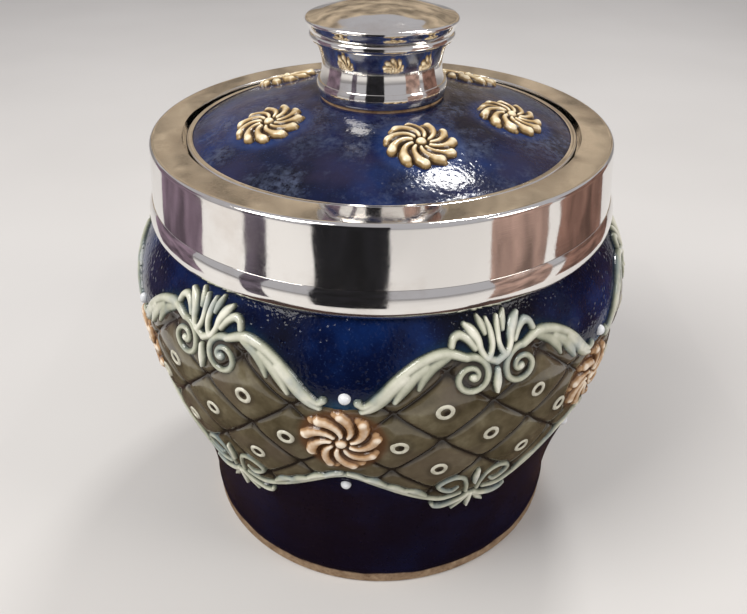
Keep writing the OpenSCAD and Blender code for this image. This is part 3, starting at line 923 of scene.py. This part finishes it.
lid_line, _ = section("lid_disc")
LID_EDGE_Z, LID_TOP_Z = 109.6, 109.7  # the rim's upper edge, and where the glazed top begins
LID_HOLE_R = 8.0  # a circle that the lid's centre hole lies inside
lid_top_line = lid_line[(lid_line[:, 1] > LID_EDGE_Z) & (lid_line[:, 0] > LID_HOLE_R)]
lid_top_line = lid_top_line[np.argsort(lid_top_line[:, 0])]
lid_fine = smooth_outline(lid_top_line, False, 0.1, corner=60)
lid_fine = lid_fine[np.append(True, np.diff(lid_fine[:, 0]) > 1e-4)]
lid_slope = np.arctan(np.gradient(lid_fine[:, 1], lid_fine[:, 0]))


def lid_spots():
    """Azimuth and radius of each of the lid's rosettes."""
    points = vertices_of("lid_rosettes")
    az = np.arctan2(points[:, 0], -points[:, 1])
    spots = []
    for a in lid_az:
        mine = points[np.cos(az - a) > 0.93]
        along = mine[:, 0] * math.sin(a) - mine[:, 1] * math.cos(a)
        spots.append((a, (along.min() + along.max()) / 2))
    return spots


LID_SPOTS = lid_spots()


def lid_frame(az, r):
    """Origin, outward and crown-ward directions on the lid's top."""
    slope = float(np.interp(r, lid_fine[:, 0], lid_slope))
    z = float(np.interp(r, lid_fine[:, 0], lid_fine[:, 1]))
    side = np.array([math.sin(az), -math.cos(az), 0])
    out = np.array([0, 0, math.cos(slope)]) - side * math.sin(slope)
    up = -side * math.cos(slope) - np.array([0, 0, math.sin(slope)])
    return side * r + np.array([0, 0, z]), out, up


def rosettes(name, node, frames, radius, petals, material, body, follow):
    """Whirl rosettes at each frame; follow bends their feet to the surface below."""
    span = centred(radius * 1.02, 0.21)
    bend = follow(*np.meshgrid(span, span))
    points, faces, rises, hollows, base = [], [], [], [], 0
    for k, (origin, out, up) in enumerate(frames):
        field = whirl_field(span, radius, petals, 7 * k + len(name))
        sheet, flat, rise, hollow = carved(span, span, field, ROSE_DIP, ROSE_FOOT, 3.2, BOSS_H,
                                           bend)
        points.append(local_place(origin, out, up)(*flat.T))
        faces.append(sheet + base)
        base += len(flat)
        rises.append(rise)
        hollows.append(hollow)
    values = {"rise": np.concatenate(rises), "hollow": np.concatenate(hollows)}
    make_piece(name, np.concatenate(points), np.concatenate(faces).tolist(), material, body, [node],
               values, crease=75)


# ---------------------------------------------------------------- small turned ornament


def small_turned(name, node, outline, frames, material, segments=20):
    """A small closed outline turned about each frame's outward direction, a little uneven."""
    points, faces, _ = lathe(np.array(outline, float), True, segments)
    rng = np.random.default_rng(11)
    all_points, all_faces = [], []
    for k, (origin, out, up) in enumerate(frames):
        scale = rng.uniform(0.94, 1.03)
        squeeze = rng.uniform(0.95, 1.04)
        put = local_place(origin, out, up)
        all_points.append(put(points[:, 0] * scale * squeeze, points[:, 1] * scale / squeeze,
                              points[:, 2]))
        all_faces += (np.array(faces) + k * len(points)).tolist()
    make_piece(name, np.concatenate(all_points), all_faces, material, "jar", [node], crease=60)


def dome_outline(radius, height, foot):
    """Outline of a bead: a dome on a short foot, closed close to its axis."""
    arc = [(radius * math.cos(a), height * math.sin(a)) for a in np.linspace(0, 1.545, 9)]
    return [(0.03, foot), (radius, foot)] + arc


def ring_outline(outer_r, inner_r, height, foot):
    """Outline of a round-topped ring."""
    mid, half = (outer_r + inner_r) / 2, (outer_r - inner_r) / 2
    arc = [(mid + half * math.cos(a), height * math.sin(a)) for a in np.linspace(0, math.pi, 9)]
    return [(outer_r, foot)] + arc + [(inner_r, foot)]


RING_LIFT, RING_SLIP = 0.52, 0.35


def ring_frames():
    """Frames of the rings, one near the middle of each diamond, raised onto its cushion."""
    rng = np.random.default_rng(5)
    out = []
    for az in drop_az:
        for u, v in RING_PLACES:
            dx, dz = rng.uniform(-RING_SLIP, RING_SLIP, 2)
            origin, face, up = wall_frame(az + (u * DIAMOND_X + dx) / REACH,
                                          FRIEZE_Z + v * DIAMOND_Z + dz)
            out.append((origin + face * RING_LIFT, face, up))
    return out


# ---------------------------------------------------------------- build

body_blue = body_glaze()
lid_blue = lid_glaze()
olive = frieze_glaze()
sprigs = sprig_glaze()
petal_body = rosette_glaze("rosette_glaze_body", (0.92, 0.80, 0.64), (0.50, 0.30, 0.15),
                           (0.095, 0.038, 0.012))
petal_lid = rosette_glaze("rosette_glaze_lid", (0.90, 0.78, 0.54), (0.44, 0.29, 0.12),
                          (0.050, 0.028, 0.014))
ring_cream = plain_glaze("rosette_glaze_rings", (0.46, 0.44, 0.34), (0.74, 0.72, 0.60))
bead_white = plain_glaze("white_glaze_beads", (0.66, 0.68, 0.70), (0.86, 0.88, 0.90))
silver = silver_metal()
iron = dull_metal()
plaster = grained("plaster", (0.62, 0.59, 0.52), (0.82, 0.80, 0.74), 500, 0.9, 0.0002)
cork = grained("cork", (0.20, 0.11, 0.05), (0.52, 0.35, 0.20), 380, 0.85, 0.0003)


def wobble(az, z):
    """Slight unevenness of a thrown and glazed wall."""
    return 0.05 * np.sin(3 * az + z * 0.06) + 0.035 * np.sin(z * 0.31 + 2 * az) - 0.085


def pooled(x, z):
    """Where the glaze pools round the applied ornament, from 0 to 1."""
    gap = np.abs(z - border_top(x))
    return bell(np.maximum(gap - 0.8, 0), 1.4) * (z > border_top(x) - 1)


def jar_piece():
    """The pot: its glazed wall, sunk under the quilted ground, its inside, rim and foot."""
    rows = np.linspace(WALL_TOP, FOOT_TOP, 134)
    wall = np.stack([np.interp(rows, wall_z, wall_rad), rows], 1)
    line = np.vstack([smooth_outline(jar_line[:shoulder + 1], False, 1.3)[:-1], wall,
                      smooth_outline(jar_line[foot:], False, 1.1)[1:]])
    points, faces, cyl = lathe(line, False, 480)
    az, r, z = cyl.T
    outer_r = np.interp(z, wall_z, wall_rad)
    on_outside = (np.abs(r - outer_r) < 0.02) & (z >= FOOT_TOP - 0.01) & (z < WALL_TOP + 0.01)
    x = ((az - drop_az[0] + PITCH / 2) % PITCH - PITCH / 2) * REACH
    sink = -0.85 * ramp01(inside_frieze(x, z), 1.0, 2.3)
    fade = ramp01(z, FOOT_TOP, FOOT_TOP + 3) * (1 - ramp01(z, WALL_TOP - 5, WALL_TOP - 0.5))
    shift = np.where(on_outside, sink + wobble(az, z) * fade, 0)
    roll = np.where(on_outside, 0.22 * bell(z - FOOT_TOP - 1.4, 0.7), 0)
    new_r = np.maximum(r + shift + roll, 0)
    points = np.stack([new_r * np.sin(az), -new_r * np.cos(az), z], 1)
    inner_side = (~on_outside) & (z > 8) & (r < outer_r - 3)
    values = {"pool": np.where(on_outside, pooled(x, z), 0), "inside": inner_side.astype(float),
              "shade": np.where(on_outside, shaded(x, z), 0)}
    make_piece("jar_pot", points, faces, body_blue, "jar", ["jar_body"], values)


def lid_piece():
    """The lid's stoneware disc, slightly uneven, with glaze pooling round its rosettes."""
    line = smooth_outline(lid_line, True, 0.7)
    points, faces, cyl = lathe(line, True, 300)
    az, r, z = cyl.T
    top = z > LID_TOP_Z
    uneven = 0.06 * np.sin(2 * az + 0.7) * np.sin(r * 0.11) + 0.04 * np.sin(r * 0.33 + 3 * az)
    points[:, 2] += np.where(top & (r > 17) & (r < 45.5), uneven, 0)
    gap = np.full(len(points), np.inf)
    for a, at in LID_SPOTS:
        gap = np.minimum(gap, np.hypot(points[:, 0] - at * math.sin(a),
                                       points[:, 1] + at * math.cos(a)))
    pool = bell(np.maximum(gap - (LID_ROSE_R - 0.4), 0), 1.8) * top
    make_piece("lid_stoneware", points, faces, lid_blue, "lid", ["lid_disc"],
               {"pool": pool})


jar_piece()
frieze_ground()
for name, node, strokes, mirrored, reach, bottom, top, step in SPRIGS:
    xs, zs = centred(reach, step), np.arange(bottom, top, step)
    sprig_piece(name, node, xs, zs, draw(xs, zs, strokes, mirrored))

wall_here = float(np.interp(ROSE_Z, wall_z, wall_rad))
rosettes("rosettes_body", "body_rosettes", [wall_frame(a, ROSE_Z) for a in rosette_az],
         ROSE_R, 9, petal_body, "jar", lambda x, y: np.sqrt(wall_here**2 - x**2) - wall_here)
rosettes("rosettes_lid", "lid_rosettes", [lid_frame(a, r) for a, r in LID_SPOTS],
         LID_ROSE_R, 11, petal_lid, "lid", lambda x, y: -(x**2 + y**2) / (2 * LID_CROWN))

bead_up, bead_low = middle_z("rosette_beads_upper"), middle_z("rosette_beads_lower")
small_turned("beads_upper", "rosette_beads_upper", dome_outline(1.35, 1.25, -0.6),
             [wall_frame(a, bead_up) for a in groups("rosette_beads_upper")], bead_white)
small_turned("beads_lower", "rosette_beads_lower", dome_outline(1.3, 1.15, -0.6),
             [wall_frame(a, bead_low) for a in rosette_az], bead_white)
small_turned("rings", "ring_studs", ring_outline(2.15, 0.95, 0.62, -0.8), ring_frames(),
             ring_cream, segments=24)

lid_piece()
for name, node, body, segments, step in (
        ("collar_sleeve", "collar_band", "jar", 360, 0.35),
        ("collar_moulding", "collar_bead", "jar", 360, 0.35),
        ("collar_throat", "collar_liner", "jar", 300, 0.8),
        ("lid_edge", "lid_bezel", "lid", 300, 0.3),
        ("knob_top", "knob_cap", "lid", 220, 0.35),
        ("knob_waist", "knob_neck", "lid", 220, 0.35),
        ("knob_foot", "knob_base_ring", "lid", 220, 0.35)):
    silver_piece(name, node, body, segments, step)

for node, material in (("collar_cement", plaster), ("knob_seat_washer", cork), ("knob_stud", iron),
                       ("retaining_washer", iron), ("retaining_nut", iron)):
    data = frame["nodes"][node].data
    data.materials.clear()
    data.materials.append(material)

# ---------------------------------------------------------------- floor, light and camera


def floor():
    """A large pale floor that curves up far behind the object."""
    n = Nodes("floor")
    pale = n.ramp(n.noise(6, 2.0), (0.3, (0.60, 0.585, 0.565)), (0.7, (0.64, 0.625, 0.605)))
    material = n.finish(pale, 0.65)
    near, far, rise = -6.0, 1.6, 1.4
    line = [(near, 0.0), (far, 0.0)]
    line += [(far + rise * math.sin(a), rise * (1 - math.cos(a)))
             for a in np.linspace(0.1, math.pi / 2, 14)]
    points = [(x, y, z) for x in (-7.0, 7.0) for y, z in line]
    count = len(line)
    faces = [(i, i + 1, i + 1 + count, i + count) for i in range(count - 1)]
    mesh = bpy.data.meshes.new("floor")
    mesh.from_pydata(points, [], faces)
    mesh.polygons.foreach_set("use_smooth", np.ones(len(mesh.polygons), bool))
    mesh.materials.append(material)
    placed("floor", mesh)


def area_light(name, at, aim, size, power, colour):
    """A soft rectangular light at a place, aimed at another."""
    lamp = bpy.data.lights.new(name, "AREA")
    lamp.shape = "RECTANGLE"
    lamp.size, lamp.size_y = size
    lamp.energy = power
    lamp.color = colour
    obj = placed(name, lamp)
    obj.location = at
    obj.rotation_euler = (Vector(aim) - Vector(at)).to_track_quat("-Z", "Y").to_euler()
    obj.visible_camera = False


def world(colour, strength):
    """Even dim light from all round."""
    made = bpy.data.worlds.new("studio")
    made.use_nodes = True
    background = made.node_tree.nodes["Background"]
    background.inputs["Color"].default_value = (*colour, 1.0)
    background.inputs["Strength"].default_value = strength
    bpy.context.scene.world = made


def camera(at, pitch, roll, lens, shift):
    """The camera at the photograph's viewing angle."""
    data = bpy.data.cameras.new("camera")
    data.sensor_width = 36.0
    data.lens = lens
    data.shift_x, data.shift_y = shift
    data.clip_start = 0.01
    obj = placed("camera", data)
    obj.location = at
    obj.rotation_euler = Euler((math.radians(90 - pitch), 0, 0))
    obj.rotation_euler.rotate_axis("Z", math.radians(roll))
    bpy.context.scene.camera = obj


def card(name, size, at, aim, colour):
    """A mottled, matt studio card that only shows in reflections."""
    n = Nodes(name)
    dim, bright = tuple(c * 0.5 for c in colour), tuple(c * 1.5 for c in colour)
    material = n.finish(n.ramp(n.noise(22, 3.0), (0.38, dim), (0.62, bright)), 1.0)
    w, h = size[0] / 2, size[1] / 2
    mesh = bpy.data.meshes.new(name)
    mesh.from_pydata([(-w, -h, 0), (w, -h, 0), (w, h, 0), (-w, h, 0)], [], [(0, 1, 2, 3)])
    mesh.materials.append(material)
    obj = placed(name, mesh)
    obj.location = at
    obj.rotation_euler = (Vector(aim) - Vector(at)).to_track_quat("Z", "Y").to_euler()
    obj.visible_camera = obj.visible_shadow = obj.visible_diffuse = False


bpy.context.scene.view_settings.view_transform = "Standard"
floor()
world((0.86, 0.84, 0.88), 0.50)
card("flag_dark", (0.115, 0.30), (-0.043, -0.205, 0.11), (0, 0, 0.10), (0.012, 0.012, 0.016))
card("flag_warm", (0.105, 0.20), (0.178, -0.111, 0.09), (0, 0, 0.10), (0.36, 0.24, 0.20))
card("flag_rust", (0.14, 0.22), (0.21, 0.03, 0.09), (0, 0, 0.10), (0.20, 0.11, 0.085))
card("flag_lilac", (0.13, 0.22), (-0.21, 0.03, 0.09), (0, 0, 0.10), (0.22, 0.16, 0.21))
card("flag_slate", (0.035, 0.24), (-0.163, -0.132, 0.09), (0, 0, 0.10), (0.12, 0.10, 0.13))
card("flag_table", (0.25, 0.25), (0, 0, 0.0008), (0, 0, 1), (0.045, 0.022, 0.017))
card("flag_gold", (0.62, 0.24), (0, 0.35, 0.26), (0, 0, 0.11), (0.40, 0.325, 0.235))
area_light("window", (-0.50, -0.30, 0.75), (0, 0, 0.07), (0.45, 0.45), 6.3, (1.0, 0.98, 0.95))
area_light("side", (0.70, -0.30, 0.50), (0, 0, 0.07), (0.25, 0.5), 2.4, (1.0, 0.96, 0.92))
area_light("top", (0.19, 0.39, 0.77), (0, 0, 0.10), (0.14, 0.10), 2.2, (1.0, 0.99, 0.97))
camera((0, -0.1802, 0.1753), 33.43, 0.257, 36.14, (-0.00995, -0.00236))
